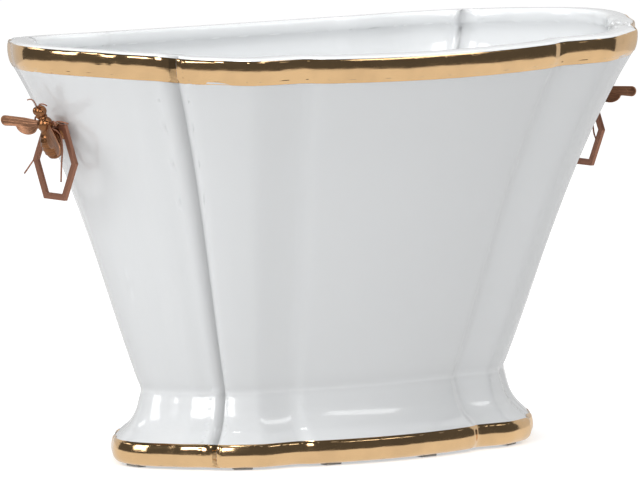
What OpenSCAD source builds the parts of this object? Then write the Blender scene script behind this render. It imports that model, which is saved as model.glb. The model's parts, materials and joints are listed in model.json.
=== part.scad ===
// Footed porcelain planter with bee ring pulls.
// +X runs along its length, +Y to its back, +Z up, and z = 0 is the surface that it stands on.

/* [Rim] */
// Half length of the wall under the rim's roll, to the flats of its ends
rim_a = 167.5; // [155:1:178]
// Half depth of the wall under the rim's roll, to the flats of its long sides
rim_b = 101.8; // [95:0.5:108]
// Length along X of each cut corner under the roll
rim_cx = 35.5; // [28:0.5:42]
// Length along Y of each cut corner under the roll
rim_cy = 20; // [14:0.5:26]
// How far the long sides bow out past their flats under the roll
rim_front_bow = 14; // [8:1:20]
// How far the ends bow out past their flats under the roll
rim_end_bow = 40.2; // [34:0.2:46]
// Height of the upper edge of the gold on the rim
rim_h = 243.3; // [238:0.5:250]
// Height that the rim gains from its middle to each end
rim_rise = 0.9; // [0:0.1:3]
// Height that the rim loses from its middle to each long side
rim_dip = 4.2; // [0:0.1:6]
// Depth of the wall below the gold in which its levels take up the rise and dip
rim_sweep = 17; // [12:1:22]

/* [Rim roll] */
// Height of the gold band on the rim
rim_gold_h = 13.6; // [11:0.2:15]
// How far the rim's roll stands out past the wall
roll_out = 2.6; // [1.6:0.1:3.4]
// How far the rim's roll reaches in over the pot
roll_in = 10.4; // [9.2:0.1:12]
// Height of the roll's crest above the gold's upper edge
roll_crest = 1.4; // [1:0.1:2]
// Depth of the roll's inner lip below the gold's upper edge
roll_lip = 9.5; // [8:0.1:11]

/* [Waist and foot] */
// Height of the waist
waist_h = 42.8; // [38:0.2:48]
// Half length of the waist, to the flats of its ends
waist_a = 101; // [95:1:108]
// Half depth of the waist, to the flats of its long sides
waist_b = 46; // [42:0.5:50]
// Length along X of each cut corner at the waist
waist_cx = 16; // [12:0.5:20]
// Length along Y of each cut corner at the waist
waist_cy = 7.6; // [6:0.2:10]
// How far the long sides bow out at the waist
waist_front_bow = 9.2; // [6:0.2:12]
// How far the ends bow out at the waist
waist_end_bow = 28.2; // [24:0.2:32]
// Half length of the foot, to the flats of its ends
foot_a = 116; // [111:1:121]
// Half depth of the foot, to the flats of its long sides
foot_b = 62.2; // [58:0.2:66]
// Length along X of each cut corner at the foot
foot_cx = 24.7; // [20:0.1:28]
// Length along Y of each cut corner at the foot
foot_cy = 12; // [9:0.5:15]
// How far the long sides bow out at the foot
foot_front_bow = 12.2; // [8:0.2:15]
// How far the ends bow out at the foot
foot_end_bow = 30.3; // [26:0.1:34]
// Height of the upper edge of the foot's gold bead
bead_top = 14.6; // [13:0.1:17]
// Height of the bead's fullest line
bead_mid = 7.5; // [6.5:0.1:8.5]
// How far the bead's upper edge lies inside its fullest line
bead_top_in = 1.6; // [0.8:0.1:2]
// How far the bead's lower edge lies inside its fullest line
bead_low_in = 4.6; // [3:0.1:5]
// How far the flared wall sags inward two thirds of the way up
wall_hollow = 5.2; // [2:0.1:6]

/* [Porcelain] */
// Thickness of the wall, measured level
wall_t = 7.5; // [6:0.1:9]
// Height of the inside floor above the waist
floor_up = 5; // [4:0.2:8]
// Thickness of the floor
floor_t = 8; // [6:0.2:10]
// Radius between the floor and the wall
floor_r = 10; // [6:0.5:14]
// Width of the ring that the foot stands on
foot_ring_w = 9; // [8:0.2:11]
// Thickness of the gold lustre
gold_t = 0.5; // [0.4:0.05:0.7]

/* [Foot pads] */
// Thickness of each pad
pad_t = 1.8; // [1.5:0.1:2.4]
// Length of each pad
pad_l = 11; // [9:0.2:13]
// Width of each pad
pad_w = 6.4; // [5:0.2:7]
// Distance of the long sides' pads from the row's middle
pad_x = 34; // [28:0.5:40]
// How far the row of pads on each long side sits off centre
pad_shift = 9; // [0:0.5:12]

/* [Bee fittings] */
// Distance of the left stud's hole down the wall from the level where the rim's rise and dip begin
left_stud_drop = 17.6; // [16:0.1:22]
// Distance of the right stud's hole down the wall from the level where the rim's rise and dip begin
right_stud_drop = 20.6; // [16:0.1:22]
// Turn of each bee about its stud, clockwise from outside
bee_turn = 6; // [0:0.5:8]
// Radius of the stud
stud_r = 2; // [1.8:0.1:2.2]
// Radius of the hole that the stud passes through in the wall
stud_hole_r = 3; // [2.8:0.1:3.4]
// Depth of the stud in the bee's body
stud_in_bee = 5; // [4:0.2:6]
// Radius of the two rubber washers
washer_r = 5.2; // [4.8:0.1:5.6]
// Thickness of each rubber washer
washer_t = 1; // [0.8:0.1:1.3]
// Radius of the steel washer
steel_r = 4.6; // [4.2:0.1:5]
// Thickness of the steel washer
steel_t = 0.8; // [0.6:0.1:1]
// Width of the cap nut across its flats
nut_w = 7; // [6.6:0.1:7.6]
// Height of the cap nut's hexagon
nut_h = 3.2; // [2.8:0.1:3.6]
// Length of the stud past the nut's hexagon, in its dome
stud_end = 1; // [0.6:0.1:1.4]

/* [Ring pull] */
// Width of the ring across its two side corners
ring_w = 40; // [38:0.5:42]
// Height of the ring
ring_h = 43.5; // [40:0.5:46]
// Length of the ring's top and bottom edges
ring_flat = 19.5; // [18:0.5:21]
// Width of the ring's bar
bar_w = 3.6; // [3.2:0.1:3.8]
// Thickness of the ring's bar
bar_t = 2.2; // [2:0.1:2.4]
// Radius of the turned pin in the ring's top bar
pin_r = 1; // [0.9:0.05:1.1]
// Distance of the ring's hinge from the wall
hinge_out = 4.2; // [4:0.1:4.8]
// Distance of the ring's hinge above the stud
hinge_up = 4.4; // [4:0.1:4.8]
// Width of the hanger's eye
eye_w = 8; // [7:0.1:8.6]
// Radius of the hanger's eye
eye_r = 2.2; // [2:0.05:2.4]
// Side play between the eye and the ring's bar
ring_play = 0.3; // [0.2:0.05:0.5]
// Thickness of the hanger's flange
flange_t = 1.2; // [1:0.1:1.6]

/* [Bee] */
// Distance of the bee's middle line from the wall
bee_out = 10.8; // [10.5:0.1:12]
// Distance of the thorax's middle above the stud
bee_up = 10; // [9.6:0.1:10.6]
// Radius of the bee's head
head_r = 3.6; // [3.2:0.1:3.9]
// Height of the head's middle above the thorax's middle
head_up = 8.6; // [8:0.1:9]
// Radius of the bee's thorax
thorax_r = 4.6; // [4.4:0.1:4.8]
// Radius of the bee's abdomen
abdomen_r = 6.1; // [5.6:0.1:6.3]
// Length of the bee's abdomen
abdomen_l = 20.3; // [18:0.1:21]
// Distance of the abdomen's tip below the thorax's middle
tail_drop = 22.8; // [21.5:0.1:24]
// Depth of the grooves between the abdomen's bands
groove_d = 0.35; // [0.2:0.05:0.5]
// Radius of each eye
eye_ball_r = 2; // [1.6:0.1:2.3]
// Length of each wing, from its slot in the thorax
wing_l = 28; // [25:0.5:30]
// Width of the fore wing
wing_w = 6.1; // [5:0.1:6.6]
// Width of the fore and hind wings together
wing_full_w = 9.4; // [8.6:0.1:10.4]
// Thickness of the wings
wing_t = 0.8; // [0.6:0.1:1]
// Turn of each wing about its length, which lifts its trailing edge
wing_pitch = 20; // [14:1:26]
// Tilt of the left wing away from the wall
left_wing_tilt = 13.5; // [10:0.5:18]
// Tilt of the right wing away from the wall
right_wing_tilt = 28; // [24:0.5:32]
// Lift of the left wing's tip towards the head
left_wing_lift = 6; // [0:1:10]
// Drop of the right wing's tip towards the tail
right_wing_drop = 12; // [6:1:14]
// Radius of the wire of the legs
leg_r = 0.5; // [0.4:0.05:0.55]
// Reach of the hind legs, from under the thorax to the feet
leg_reach = 33; // [30:0.5:34]
// Radius of the wire of the antennae
antenna_r = 0.4; // [0.3:0.05:0.5]
// Reach of the antennae, from under the thorax
antenna_reach = 16; // [15:0.2:17]

/* [Hidden] */
PADS = 10;
SIDES = ["left", "right"];
FITTINGS = ["bee_body", "bee_left_wing", "bee_right_wing", "bee_legs", "bee_antennae", "ring_hanger",
            "ring", "stud", "outer_washer", "inner_washer", "steel_washer", "cap_nut"];
$fn = 48;

// Flat sides of the holes for the studs
hole_sides = 12;

// Clearances
seat_gap = 0.1;
gold_gap = 0.1;
run_gap = 0.08;
wire_gap = 0.05;
key_gap = 0.5;
overrun = 1;

// Colours
PORCELAIN = [0.93, 0.93, 0.92];
GOLD = [0.83, 0.62, 0.3];
BRONZE = [0.58, 0.37, 0.2];
COPPER = [0.5, 0.32, 0.22];
RUBBER = [0.2, 0.2, 0.2];
FELT = [0.6, 0.6, 0.58];
STEEL = [0.7, 0.7, 0.72];

// Each plan is half length, half depth, the cut corner's two lengths, and the two bows.
RIM = [rim_a, rim_b, rim_cx, rim_cy, rim_front_bow, rim_end_bow];
WAIST = [waist_a, waist_b, waist_cx, waist_cy, waist_front_bow, waist_end_bow];
FOOT = [foot_a, foot_b, foot_cx, foot_cy, foot_front_bow, foot_end_bow];

// How a long side divides: its bow, the step at the bow's edge, and the bow's height there.
front_bow_share = 0.6;
front_step_share = 0.35;
front_edge_share = 0.45;
end_bow_share = 0.49;
end_step_share = 0.9;
end_edge_share = 0.63;
// Places of an outline's points along a bow, the first on the small flat at its middle
front_point_shares = [0.12, 0.4, 0.7, 1];
end_point_shares = [0.18, 0.45, 0.72, 1];
step_point_shares = [1 / 3, 2 / 3, 1];
// How much of the cut corner each rounded edge takes, and the places of its points
round_share = 0.2;
round_point_shares = [0, 0.5, 1];

wall_low_gold = rim_h - rim_gold_h;
sweep_low = wall_low_gold - rim_sweep;
waist_end = waist_a + waist_end_bow;
rim_end = rim_a + rim_end_bow;
hollow_share = 27 / 4 * wall_hollow / (rim_end - waist_end);
floor_h = waist_h + floor_up;
ceiling_h = floor_h - floor_t;

function mix(a, b, s) = a + (b - a) * s;
function smooth(s) = s * s * (3 - 2 * s);
function power(v, p) = sign(v) * pow(abs(v), p);
function clamp(s) = min(1, max(0, s));

// A plan moved out by d, with the cut corner kept parallel
function grown(P, d) =
    let (c = norm([P[2], P[3]]))
    [P[0] + d, P[1] + d, P[2] + d * (1 - (c - P[2]) / P[3]), P[3] + d * (1 - (c - P[3]) / P[2]), P[4], P[5]];

// Three points of a rounded edge at v, between the directions to p and to q
function rounded(p, v, q, t) =
    [for (s = round_point_shares)
        let (e = v + t * (p - v) / norm(p - v), f = v + t * (q - v) / norm(q - v))
        e * (1 - s) * (1 - s) + v * 2 * s * (1 - s) + f * s * s];

// A quarter of the outline, from the end's middle round to the long side's middle
function quarter(P) =
    let (a = P[0], b = P[1], cx = P[2], cy = P[3], front = P[4], end = P[5],
         lx = a - cx, ly = b - cy,
         wf = lx * front_bow_share, gf = mix(wf, lx, front_step_share),
         we = ly * end_bow_share, ge = mix(we, ly, end_step_share),
         t = norm([cx, cy]) * round_share)
    concat(
        [for (s = end_point_shares) [a + end * (1 - (1 - end_edge_share) * s * s), we * s]],
        [for (s = step_point_shares) [a + end * end_edge_share * (1 - smooth(s)), mix(we, ge, s)]],
        rounded([a, ge], [a, ly], [lx, b], t),
        rounded([a, ly], [lx, b], [gf, b], t),
        [for (i = [2:-1:0]) let (s = step_point_shares[i])
            [mix(wf, gf, s), b + front * front_edge_share * (1 - smooth(s))]],
        [for (i = [3:-1:0]) let (s = front_point_shares[i])
            [wf * s, b + front * (1 - (1 - front_edge_share) * s * s)]]);

function outline(P) =
    let (q = quarter(P), n = len(q))
    concat(q, [for (i = [n - 1:-1:0]) [-q[i][0], q[i][1]]],
           [for (p = q) -p], [for (i = [n - 1:-1:0]) [q[i][0], -q[i][1]]]);

// Plan of the flared wall at height z, with d outside it; the roll stands on the wall's last plan
function wall_share(z) =
    let (h = min(1, (z - waist_h) / (wall_low_gold - waist_h))) h - hollow_share * h * h * (1 - h);
function wall_plan(z, d) = grown(mix(WAIST, RIM, wall_share(z)), d);

// The flare from the waist to the foot's bead: shares of its height and of its spread
flare_shares = [[0, 0], [0.2, 0.075], [0.4, 0.17], [0.55, 0.28], [0.68, 0.42], [0.79, 0.59],
                [0.89, 0.79], [1, 1]];
function flare_plan(z, d) =
    let (s = lookup((waist_h - z) / (waist_h - bead_top), flare_shares))
    grown(mix(WAIST, FOOT, s), d - bead_top_in * s);

function level(P, z) = [for (p = outline(P)) [p[0], p[1], z]];

// A level of the wall, which slides up over the ends and down over the long sides near the rim
rim_slopes = (outline(wall_plan(wall_low_gold, 0)) - outline(wall_plan(sweep_low, 0))) / rim_sweep;
function saddle(p, z) =
    clamp((z - sweep_low) / rim_sweep) * (rim_rise * pow(p[0] / rim_a, 2) - rim_dip * pow(p[1] / rim_b, 2));
function wall_level(z, d) =
    let (q = outline(wall_plan(z, d)))
    [for (i = [0:len(q) - 1]) let (s = saddle(q[i], z)) [each q[i] + s * rim_slopes[i], z + s]];

// Section of the rim's roll, an oval whose upper half is squarer: distance outside the wall and height
roll_power_share = 0.6;
roll_mid_share = 0.2;
roll_r = (roll_out + roll_in) / 2;
roll_mid = roll_out - roll_r;
roll_z = rim_h - roll_mid_share * rim_gold_h;
roll_top = rim_h + roll_crest - roll_z;
roll_start = -acos(-roll_mid / roll_r);
roll_end = 180 + acos((wall_t + roll_mid) / roll_r);
roll_gold = asin(pow((rim_h - roll_z) / roll_top, 1 / roll_power_share));
roll_low_out = (roll_z - wall_low_gold) / -sin(roll_start);
roll_low_in = (roll_z - rim_h + roll_lip) / -sin(roll_end);
function roll_level(angle, t) =
    let (c = cos(angle), s = sin(angle), p = s > 0 ? roll_power_share : 1,
         high = s > 0 ? roll_top : c > 0 ? roll_low_out : roll_low_in,
         z = roll_z + (high + t) * power(s, p))
    wall_level(z, roll_mid + (roll_r + t) * power(c, p));
roll_gold_steps = 6;
roll_white_steps = 8;
gold_angles = [for (i = [0:roll_gold_steps]) mix(roll_start, roll_gold, i / roll_gold_steps)];
white_angles = [for (i = [1:roll_white_steps]) mix(roll_gold, roll_end, i / roll_white_steps)];

// Section of the foot's bead, from its lower edge up to its upper edge
bead_steps = 3;
function bead_level(angle, t) =
    let (c = cos(angle), s = sin(angle),
         d = s < 0 ? -bead_low_in * (1 - c) : -bead_top_in * (1 - c),
         z = s < 0 ? bead_mid + (bead_mid - pad_t) * s : bead_mid + (bead_top - bead_mid) * s)
    level(grown(FOOT, d + t * c), z + t * s);
bead_angles = [for (i = [-bead_steps:bead_steps]) 90 * i / bead_steps];

// Heights of the levels, as shares of the stretch that each list divides
cavity_shares = [0.3, 0.55, 0.8, 1];
wall_shares = [0, 0.03, 0.15, 0.3, 0.45, 0.6, 0.75];
seat_share = 0.85;
inner_shares = [0.7, 0.42, 0.18];
floor_angles = [0, 30, 60, 90];
seat_low = mix(waist_h, sweep_low, seat_share);

cavity_edge = -bead_low_in - foot_ring_w;
cavity_levels = concat(
    [level(flare_plan(ceiling_h, -wall_t), ceiling_h)],
    [for (s = cavity_shares) let (z = mix(ceiling_h, bead_top, s)) level(flare_plan(z, -wall_t), z)],
    [level(grown(FOOT, cavity_edge), pad_t)]);
outer_levels = concat(
    [for (a = bead_angles) bead_level(a, 0)],
    [for (i = [len(flare_shares) - 2:-1:1])
        let (z = mix(waist_h, bead_top, flare_shares[i][0])) level(flare_plan(z, 0), z)],
    [for (s = wall_shares) wall_level(mix(waist_h, sweep_low, s), 0)],
    [for (z = [seat_low, sweep_low, (sweep_low + wall_low_gold) / 2]) wall_level(z, 0)]);
inner_levels = concat(
    [for (z = [sweep_low, seat_low]) wall_level(z, -wall_t)],
    [for (s = inner_shares) wall_level(mix(floor_h + floor_r, seat_low, s), -wall_t)],
    [for (a = floor_angles) wall_level(floor_h + floor_r * (1 - sin(a)), -wall_t - floor_r * (1 - cos(a)))]);

function mean(ring) = [for (i = [0:2]) [for (p = ring) p[i]] * [for (p = ring) 1] / len(ring)];

// A closed skin over rings of points, each ring counter-clockwise about the way they run
module loft(levels, joined) {
    n = len(levels[0]);
    m = len(levels);
    points = [for (l = levels) each l];
    sides = [for (r = [0:joined ? m - 1 : m - 2]) for (i = [0:n - 1])
        let (a = r * n + i, b = r * n + (i + 1) % n, k = (r + 1) % m, c = k * n + (i + 1) % n, d = k * n + i)
        each [[a, d, c], [a, c, b]]];
    start = [for (i = [0:n - 1]) [n * m, i, (i + 1) % n]];
    finish = [for (i = [0:n - 1]) let (k = n * (m - 1)) [n * m + 1, k + (i + 1) % n, k + i]];
    caps = [mean(levels[0]), mean(levels[m - 1])];
    polyhedron(concat(points, joined ? [] : caps), joined ? sides : concat(sides, start, finish));
}

// The fittings sit on the flat at the middle of each end, between the levels seat_low and sweep_low
function end_x(z) = outline(wall_plan(z, 0))[0][0];
lean = atan((end_x(sweep_low) - end_x(seat_low)) / (sweep_low - seat_low));
wall_n = wall_t * cos(lean);
function stud_drop(side) = side == "left" ? left_stud_drop : right_stud_drop;

// Puts a fitting at a side's stud: x outward, z up along the wall, y towards the bee's right
module on_wall(side) {
    rotate([0, 0, side == "left" ? 180 : 0]) translate([end_x(sweep_low), 0, sweep_low])
        rotate([0, lean, 0]) translate([0, 0, -stud_drop(side)]) children();
}

// The same axes at the bee, which is turned about its stud: z = 0 is level with the thorax's middle
module on_bee(side) {
    on_wall(side) rotate([-bee_turn, 0, 0]) translate([0, 0, bee_up]) children();
}

// A disc or rod along x, from x0 to x1
module along_x(x0, x1, r) {
    translate([x0, 0, 0]) rotate([0, 90, 0]) cylinder(h = x1 - x0, r = r);
}

// A box between two corners
module box(low, high) {
    translate(low) cube(high - low);
}

// The vessel, whose stud holes are cut with flat sides as its outline is
module vessel() {
    color(PORCELAIN)
    difference() {
        loft(concat(cavity_levels, outer_levels, [for (a = gold_angles) roll_level(a, 0)],
                    [for (a = white_angles) roll_level(a, 0)], inner_levels), false);
        for (side = SIDES) on_wall(side)
            translate([-wall_n - stud_hole_r, 0, 0]) rotate([0, 90, 0])
                cylinder(h = wall_n + 2 * stud_hole_r, r = stud_hole_r, $fn = hole_sides);
    }
}

module rim_gold_band() {
    color(GOLD)
    loft(concat([for (a = gold_angles) roll_level(a, gold_t)],
                [for (i = [roll_gold_steps:-1:0]) roll_level(gold_angles[i], gold_gap)]), true);
}

module foot_gold_band() {
    color(GOLD)
    loft(concat([for (a = bead_angles) bead_level(a, gold_t)],
                [for (i = [2 * bead_steps:-1:0]) bead_level(bead_angles[i], gold_gap)]), true);
}

// Places of the pads on the foot's ring: x, y and turn
ring_mid = grown(FOOT, -bead_low_in - foot_ring_w / 2);
function front_y(x) =
    let (wf = (ring_mid[0] - ring_mid[2]) * front_bow_share, s = x / wf)
    ring_mid[1] + ring_mid[4] * (1 - (1 - front_edge_share) * s * s);
corner_pad = [ring_mid[0] - ring_mid[2] / 2, ring_mid[1] - ring_mid[3] / 2];
corner_turn = atan(ring_mid[3] / ring_mid[2]);
pad_places = concat(
    [for (sx = [-1, 1]) for (sy = [-1, 1]) [sx * corner_pad[0], sy * corner_pad[1], -sx * sy * corner_turn]],
    [for (sx = [-1, 1]) for (sy = [-1, 1]) let (x = sx * pad_x - pad_shift) [x, sy * front_y(x), 0]],
    [for (sx = [-1, 1]) [sx * (ring_mid[0] + ring_mid[5]), 0, 90]]);

module foot_pad(place) {
    color(FELT)
    translate([place[0], place[1], pad_t / 2]) rotate([0, 0, place[2]])
        cube([pad_l, pad_w, pad_t], center = true);
}

// The bee's casting, whose key lies on the hanger and holds the ring's pin in its groove
pad_low = hinge_out + pin_r + run_gap;
key_w = eye_w - 2 * key_gap;
abdomen_steps = 18;
bands_every = 3;
neck_share = 0.4;
eye_tilt = 82;
eye_turn = 60;
eye_deep_share = 0.72;
function abdomen_radius(i) =
    let (s = 2 * i / abdomen_steps - 1)
    abdomen_r * sqrt(1 - s * s) - (i % bands_every == 0 ? groove_d : 0);
abdomen_top = abdomen_l - tail_drop;
abdomen_points = concat(
    [[0, -tail_drop]],
    [for (i = [1:abdomen_steps - 1]) [abdomen_radius(i), mix(-tail_drop, abdomen_top, i / abdomen_steps)]],
    [[0, abdomen_top]]);

// The wires' points, hand bent, as shares of their reach: distance from the wall, across and up
hind_wide_shares = [[0.26, -0.085, -0.25], [0.15, -0.15, -0.325], [0.11, -0.25, -0.42],
                    [0.14, -0.45, -0.58], [0.28, -0.63, -0.78], [0.53, -0.81, -1.04]];
hind_bent_shares = [[0.31, -0.06, -0.06], [0.25, -0.165, -0.15], [0.3, -0.215, -0.42],
                    [0.5, -0.155, -0.71], [0.575, -0.19, -0.84], [0.63, -0.25, -0.93]];
hind_right_shares = [[0.31, 0.06, -0.06], [0.25, 0.165, -0.15], [0.27, 0.21, -0.42],
                     [0.42, 0.22, -0.72], [0.55, 0.225, -1]];
fore_shares = [[0.3, -0.095, 0.04], [0.29, -0.19, 0.06], [0.3, -0.25, 0.08], [0.31, -0.28, 0]];
mid_shares = [[0.29, -0.085, 0], [0.2, -0.19, 0.01], [0.14, -0.27, -0.02], [0.09, -0.34, -0.07]];
left_antenna_shares = [[0.72, -0.06, 0.62], [0.72, -0.1, 0.88], [0.74, -0.14, 1], [0.8, -0.2, 1.07],
                       [0.88, -0.27, 1.07]];
right_antenna_shares = [[0.72, 0.06, 0.62], [0.76, 0.15, 0.84], [0.74, 0.26, 0.92], [0.7, 0.38, 0.91],
                        [0.65, 0.48, 0.84]];
function mirrored(shares) = [for (p = shares) [p[0], -p[1], p[2]]];
function leg_routes(side) = leg_reach *
    [side == "left" ? hind_wide_shares : hind_bent_shares, hind_right_shares,
     fore_shares, mirrored(fore_shares), mid_shares, mirrored(mid_shares)];
antenna_routes = antenna_reach * [left_antenna_shares, right_antenna_shares];

// A wire's smooth line: straight to its second point, then bent through the others
wire_steps = 3;
wire_sides = 8;
function slope(p, i) =
    i == 1 ? (p[1] - p[0]) / norm(p[1] - p[0]) * norm(p[2] - p[1]) :
    i == len(p) - 1 ? p[i] - p[i - 1] : (p[i + 1] - p[i - 1]) / 2;
function bend(p) = concat([p[0], p[1]],
    [for (i = [1:len(p) - 2]) for (k = [1:wire_steps])
        let (s = k / wire_steps, e = smooth(s), f = s * (1 - s))
        p[i] * (1 - e) + p[i + 1] * e + slope(p, i) * f * (1 - s) - slope(p, i + 1) * f * s]);
function unit(v) = v / norm(v);
function wire_level(line, i, r) =
    let (n = len(line) - 1,
         u = unit(i < 2 ? line[1] - line[0] : line[min(i + 1, n)] - line[i - 1]),
         a = unit(cross(u, [0, -u[2], u[1]])), b = cross(u, a))
    [for (k = [0:wire_sides - 1]) let (t = 360 * k / wire_sides) line[i] + r * (a * cos(t) + b * sin(t))];

module wire(points, r) {
    line = bend(points);
    loft([for (i = [0:len(line) - 1]) wire_level(line, i, r)], false);
}

// The straight hole that a wire's root sits in
module root_hole(points, r) {
    v = points[1] - points[0];
    translate(points[0] - unit(v) * wire_gap) rotate([0, acos(v[2] / norm(v)), atan2(v[1], v[0])])
        cylinder(h = norm(v), r = r + wire_gap, $fn = 16);
}

module bee_body(side) {
    color(BRONZE)
    difference() {
        union() {
            on_bee(side) translate([bee_out, 0, 0]) {
                sphere(r = thorax_r);
                translate([0, 0, head_up]) sphere(r = head_r);
                rotate_extrude() polygon(abdomen_points);
                translate([0, 0, abdomen_top - thorax_r * neck_share])
                    cylinder(h = head_up - abdomen_top, r = thorax_r * neck_share);
                translate([0, 0, head_up]) for (s = [-1, 1])
                    rotate([0, eye_tilt, s * eye_turn]) translate([0, 0, head_r * eye_deep_share])
                        sphere(r = eye_ball_r, $fn = 24);
            }
            on_wall(side) box([pad_low, -key_w / 2, hinge_up - pin_r - run_gap],
                              [bee_out, key_w / 2, hinge_up + eye_r]);
        }
        on_wall(side) {
            along_x(pad_low - overrun, pad_low + stud_in_bee + wire_gap, stud_r + wire_gap);
            along_x(0, pad_low, washer_r * boss_share + wire_gap);
        }
        on_bee(side) {
            for (s = [-1, 1]) wing_place(s)
                box([-wire_gap, -wing_w, -wing_t / 2 - wire_gap],
                    [wing_l / 2, wing_t, wing_t / 2 + wire_gap]);
            for (p = leg_routes(side)) root_hole(p, leg_r);
            for (p = antenna_routes) root_hole(p, antenna_r);
        }
    }
}

// Outline of a fore and hind wing together, from the root along the leading edge and back
tip_r = wing_w / 2;
lead_share = 0.4;
fore_root_share = 0.42;
notch_share = 0.64;
notch_up_share = 0.88;
hind_mid_share = 0.36;
hind_reach_share = 0.26;
hind_up_share = 0.5;
hind_mid = -wing_full_w * hind_up_share;
tip_steps = 8;
hind_steps = 9;
hind_start = -10;
hind_turn = -160;
wing_points = concat(
    [[0, 0], [wing_l * lead_share, wing_t / 2]],
    [for (i = [0:tip_steps]) let (a = 90 - 180 * i / tip_steps)
        [wing_l - tip_r + tip_r * cos(a), -tip_r + tip_r * sin(a)]],
    [[wing_l * notch_share, -wing_w * notch_up_share]],
    [for (i = [0:hind_steps]) let (a = hind_start + hind_turn * i / hind_steps)
        [wing_l * (hind_mid_share + hind_reach_share * cos(a)),
         hind_mid + (wing_full_w + hind_mid) * sin(a)]],
    [[0, -wing_w * fore_root_share]]);

// The wing's own plane: x along the wing, y towards the head, z away from the wall
wing_root_share = 0.66;
wing_up_share = 0.34;
module wing_place(s) {
    tilt = s < 0 ? left_wing_tilt : right_wing_tilt;
    lift = s < 0 ? left_wing_lift : -right_wing_drop;
    mirror([0, s < 0 ? 1 : 0, 0])
        translate([bee_out, thorax_r * wing_root_share, thorax_r * wing_up_share])
            rotate([lift, 0, 0]) rotate([0, 0, -tilt]) rotate([90, 0, 90]) rotate([-wing_pitch, 0, 0])
                children();
}

module bee_wing(side, s) {
    color(BRONZE) on_bee(side) wing_place(s) linear_extrude(wing_t, center = true) polygon(wing_points);
}

module bee_legs(side) {
    color(COPPER) on_bee(side) for (p = leg_routes(side)) wire(p, leg_r);
}

module bee_antennae(side) {
    color(COPPER) on_bee(side) for (p = antenna_routes) wire(p, antenna_r);
}

boss_share = 0.75;
module ring_hanger(side) {
    color(BRONZE) on_wall(side)
    difference() {
        union() {
            along_x(washer_t + seat_gap, washer_t + seat_gap + flange_t, washer_r);
            along_x(washer_t + seat_gap, pad_low, washer_r * boss_share);
            intersection() {
                translate([hinge_out, eye_w / 2, hinge_up]) rotate([90, 0, 0])
                    cylinder(h = eye_w, r = eye_r);
                box([0, -eye_w, 0], [pad_low, eye_w, hinge_up + eye_r + overrun]);
            }
            box([hinge_out - eye_r, -eye_w / 2, 0], [pad_low, eye_w / 2, hinge_up]);
        }
        along_x(0, pad_low + overrun, stud_r + wire_gap);
        translate([hinge_out, eye_w / 2 + overrun, hinge_up]) rotate([90, 0, 0])
            cylinder(h = eye_w + 2 * overrun, r = pin_r + run_gap);
        box([hinge_out, -eye_w, hinge_up - pin_r - run_gap],
            [pad_low + overrun, eye_w, hinge_up + pin_r + run_gap]);
    }
}

// The hexagon, flat in y and z, its top bar's middle at the origin
ring_slope = atan((ring_w - ring_flat) / ring_h);
side_w = bar_w / cos(ring_slope);
ring_low = bar_w / 2 - ring_h;
ring_mid_z = (bar_w / 2 + ring_low) / 2;
inner_flat = ring_flat / 2 + bar_w * tan(ring_slope) - side_w;
function hexagon(flat, wide, top, low) =
    [[flat, top], [wide, ring_mid_z], [flat, low], [-flat, low], [-wide, ring_mid_z], [-flat, top]];

module ring(side) {
    slot = eye_w / 2 + ring_play;
    color(COPPER) on_wall(side) translate([hinge_out, 0, hinge_up]) rotate([0, -lean, 0]) {
        difference() {
            rotate([90, 0, 90]) linear_extrude(bar_t, center = true)
            difference() {
                polygon(hexagon(ring_flat / 2, ring_w / 2, bar_w / 2, ring_low));
                polygon(hexagon(inner_flat, ring_w / 2 - side_w, -bar_w / 2, ring_low + bar_w));
            }
            box([-bar_t, -slot, -bar_w / 2 - overrun], [bar_t, slot, bar_w / 2 + overrun]);
        }
        translate([0, slot, 0]) rotate([90, 0, 0]) cylinder(h = 2 * slot, r = pin_r);
    }
}

// The stack inside the wall, in order: rubber washer, steel washer, cap nut
module stud(side) {
    color(STEEL) on_wall(side)
        along_x(-wall_n - seat_gap - washer_t - steel_t - nut_h - stud_end, pad_low + stud_in_bee, stud_r);
}

module outer_washer(side) {
    color(RUBBER) on_wall(side)
    difference() {
        along_x(seat_gap, seat_gap + washer_t, washer_r);
        along_x(0, washer_t + overrun, stud_r + wire_gap);
    }
}

module inner_washer(side) {
    back = -wall_n - seat_gap;
    color(RUBBER) on_wall(side)
    difference() {
        along_x(back - washer_t, back, washer_r);
        along_x(back - washer_t - overrun, back + overrun, stud_r + wire_gap);
    }
}

module steel_washer(side) {
    back = -wall_n - seat_gap - washer_t;
    color(STEEL) on_wall(side)
    difference() {
        along_x(back - steel_t, back, steel_r);
        along_x(back - steel_t - overrun, back + overrun, stud_r + wire_gap);
    }
}

dome_share = 0.45;
module cap_nut(side) {
    back = -wall_n - seat_gap - washer_t - steel_t;
    color(STEEL) on_wall(side)
    difference() {
        union() {
            translate([back - nut_h, 0, 0]) {
                rotate([0, 90, 0]) cylinder(h = nut_h, d = nut_w / cos(30), $fn = 6);
                sphere(r = nut_w * dome_share);
            }
        }
        along_x(back - nut_h - stud_end - wire_gap, back + overrun, stud_r + wire_gap);
    }
}

vessel();
rim_gold_band();
foot_gold_band();
for (i = [1:PADS])
    foot_pad(pad_places[i - 1]);
for (side = SIDES) {
    bee_body(side);
    bee_wing(side, -1);
    bee_wing(side, 1);
    bee_legs(side);
    bee_antennae(side);
    ring_hanger(side);
    ring(side);
    stud(side);
    outer_washer(side);
    inner_washer(side);
    steel_washer(side);
    cap_nut(side);
}
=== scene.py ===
import json
import math

import bpy
from bpy.props import FloatProperty, FloatVectorProperty, IntProperty, PointerProperty
from mathutils import Matrix, Vector

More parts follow.
